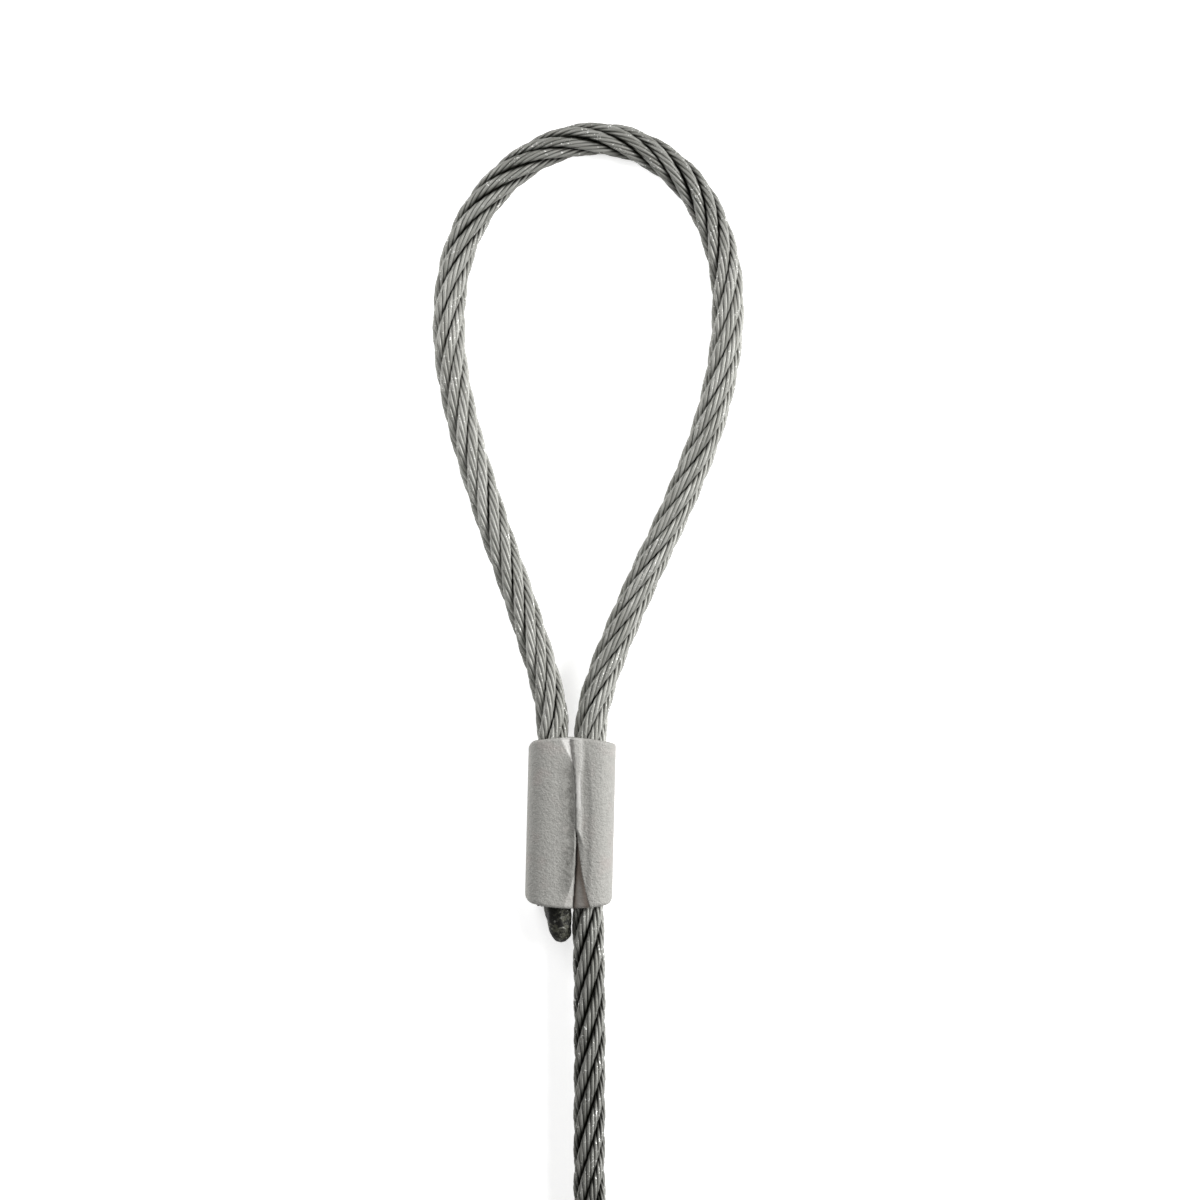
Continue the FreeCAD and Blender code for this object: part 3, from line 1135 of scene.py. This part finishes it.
class SLING_OT_stage(bpy.types.Operator):
    """Add the floor, the soft lights and the camera"""

    bl_idname = "sling.stage"
    bl_label = "Stage"

    def execute(self, context):
        stage, colours = context.scene.sling_stage, context.scene.sling_colours
        reach = 3.0
        mesh = bpy.data.meshes.new("floor")
        mesh.from_pydata(
            [(-reach, -reach, 0), (reach, -reach, 0), (reach, reach, 0), (-reach, reach, 0)],
            [],
            [(0, 1, 2, 3)],
        )
        floor = linked("floor", mesh)
        finish = Finish("floor_paint")
        finish.set(
            Base_Color=(*colours.floor, 1),
            Roughness=0.9,
            Emission_Color=(1, 1, 1, 1),
            Emission_Strength=stage.table_glow,
        )
        mesh.materials.append(finish.material)

        world = bpy.data.worlds.new("soft_sky")
        world.use_nodes = True
        sky = world.node_tree.nodes["Background"]
        sky.inputs["Color"].default_value = (1, 1, 1, 1)
        sky.inputs["Strength"].default_value = stage.sky
        context.scene.world = world
        middle = Vector((stage.view_x, stage.view_y, 0))
        self.light("key_light", *KEY_LIGHT, middle, stage.key_power)
        self.light("fill_light", *FILL_LIGHT, middle, stage.fill_power)

        lens = bpy.data.cameras.new("camera")
        lens.sensor_width = 36.0
        lens.lens = 36.0 * stage.camera_height / stage.view_width
        lens.clip_start = 0.01
        camera = linked("camera", lens)
        camera.location = middle + Vector((0, 0, stage.camera_height + LEG_Z))
        context.scene.camera = camera
        context.scene.view_settings.view_transform = "Standard"
        return {"FINISHED"}

    @staticmethod
    def light(name, place, size, target, power):
        """A square soft light aimed at a point."""
        lamp = bpy.data.lights.new(name, "AREA")
        lamp.size = size
        lamp.energy = power
        holder = linked(name, lamp)
        holder.location = place
        holder.rotation_euler = (target - Vector(place)).to_track_quat("-Z", "Y").to_euler()
        holder.visible_camera = False


class SLING_OT_fused_ends(bpy.types.Operator):
    """Fuse the rope's two ends: the one below the ferrule and the one on the coil"""

    bl_idname = "sling.fused_ends"
    bl_label = "Fused ends"

    def execute(self, context):
        colours, sizes = context.scene.sling_colours, context.scene.sling_sizes
        scorch = finish_named("scorched_steel", scorched_steel, colours)
        dead_end = make_fused_end(
            "dead_end_lump",
            Vector((-LEG_X + DEAD_END_SHIFT, DEAD_END_Y + 2 * FUSED_OVERLAP, LEG_Z)),
            Vector((0, -1, 0)),
            Vector((DEAD_END_LEAN, 0, 0)),
            sizes.fused_length + 2 * FUSED_OVERLAP,
            DEAD_END_WIDTH,
            scorch,
            1.0,
        )
        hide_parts("fused_dead_end")
        *_, before, last = tail_points()
        way = (last - before).normalized()
        far_end = make_fused_end(
            "far_end_lump",
            last - way * (FUSED_OVERLAP / 2),
            way,
            Vector((0, 0, 0)),
            sizes.fused_length,
            FAR_END_WIDTH,
            scorch,
            4.0,
        )
        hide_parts("fused_far_end")
        return {"FINISHED"}


class SLING_OT_ties(bpy.types.Operator):
    """Tie the coil with coated twist ties"""

    bl_idname = "sling.ties"
    bl_label = "Ties"

    def execute(self, context):
        sizes, colours = context.scene.sling_sizes, context.scene.sling_colours
        coating = finish_named("tie_plastic", tie_plastic, colours)
        for node in TIE_NODES:
            make_tie(node, sizes, coating)
        return {"FINISHED"}


class SLING_OT_eye_rope(bpy.types.Operator):
    """Lay the strands of the eye, with both of its legs inside the ferrule"""

    bl_idname = "sling.eye_rope"
    bl_label = "Eye rope"

    def execute(self, context):
        sizes, colours = context.scene.sling_sizes, context.scene.sling_colours
        wire = finish_named("galvanised_wire", galvanised_wire, colours)
        points = [
            Vector((-LEG_X, DEAD_END_Y + FUSED_OVERLAP, LEG_Z)),
            Vector((-LEG_X, MOUTH_Y, LEG_Z)),
            *lifted(EYE_ROUTE),
            Vector((LEG_X, MOUTH_Y, LEG_Z)),
            Vector((LEG_X, INSIDE_Y, LEG_Z)),
        ]
        strands, path = make_strands("eye", points, sizes, wire, EYE_DETAIL, sizes.fine_step)
        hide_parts("rope_eye", "rope_dead_leg")
        line_length(path)
        return {"FINISHED"}


class SLING_OT_standing_rope(bpy.types.Operator):
    """Lay the strands of the standing rope, its coil and its tail"""

    bl_idname = "sling.standing_rope"
    bl_label = "Standing rope"

    def execute(self, context):
        sizes, colours = context.scene.sling_sizes, context.scene.sling_colours
        wire = finish_named("galvanised_wire", galvanised_wire, colours)
        points = [
            Vector((LEG_X, INSIDE_Y, LEG_Z)),
            Vector((LEG_X, -MOUTH_Y, LEG_Z)),
            *lifted(STANDING_ROUTE),
            *coil_points(),
            *tail_points(),
        ]
        strands, path = make_strands(
            "standing", points, sizes, wire, COIL_DETAIL, sizes.coarse_step
        )
        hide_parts("rope_standing", "rope_coil", "rope_tail", "rope_live_leg")
        line_length(path)
        return {"FINISHED"}


class SLING_OT_ferrule(bpy.types.Operator):
    """Press the ferrule over the two legs"""

    bl_idname = "sling.ferrule"
    bl_label = "Ferrule"

    def execute(self, context):
        sizes, colours = context.scene.sling_sizes, context.scene.sling_colours
        alloy = finish_named("sand_pressed_alloy", sand_pressed_alloy, colours)
        sleeve = make_ferrule(sizes, alloy)
        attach(sleeve, BODY)
        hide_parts("ferrule")
        return {"FINISHED"}


class SLING_PT_panel(bpy.types.Panel):
    """The sling's sizes, colours and steps"""

    bl_idname = "SLING_PT_panel"
    bl_label = "Wire rope sling"
    bl_space_type = "VIEW_3D"
    bl_region_type = "UI"
    bl_category = "Sling"

    def draw(self, context):
        for operator in OPERATORS:
            self.layout.operator(operator.bl_idname)
        for label in GROUPS:
            group = getattr(context.scene, label)
            box = self.layout.box()
            for name in group.__annotations__:
                box.prop(group, name)


GROUPS = {"sling_sizes": SlingSizes, "sling_colours": SlingColours, "sling_stage": SlingStage}
OPERATORS = (
    SLING_OT_stage,
    SLING_OT_ferrule,
    SLING_OT_fused_ends,
    SLING_OT_ties,
    SLING_OT_eye_rope,
    SLING_OT_standing_rope,
)
CLASSES = (*GROUPS.values(), *OPERATORS, SLING_PT_panel)


def register():
    """Add the classes and the scene's settings."""
    for cls in CLASSES:
        bpy.utils.register_class(cls)
    for name, group in GROUPS.items():
        setattr(bpy.types.Scene, name, bpy.props.PointerProperty(type=group))


def unregister():
    """Take the settings and the classes away again."""
    for name in GROUPS:
        delattr(bpy.types.Scene, name)
    for cls in reversed(CLASSES):
        bpy.utils.unregister_class(cls)


def main():
    """Build the sling with its stage."""
    register()
    bpy.ops.sling.stage()
    bpy.ops.sling.ferrule()
    bpy.ops.sling.fused_ends()
    bpy.ops.sling.ties()
    bpy.ops.sling.eye_rope()
    bpy.ops.sling.standing_rope()


if __name__ == "__main__":
    main()
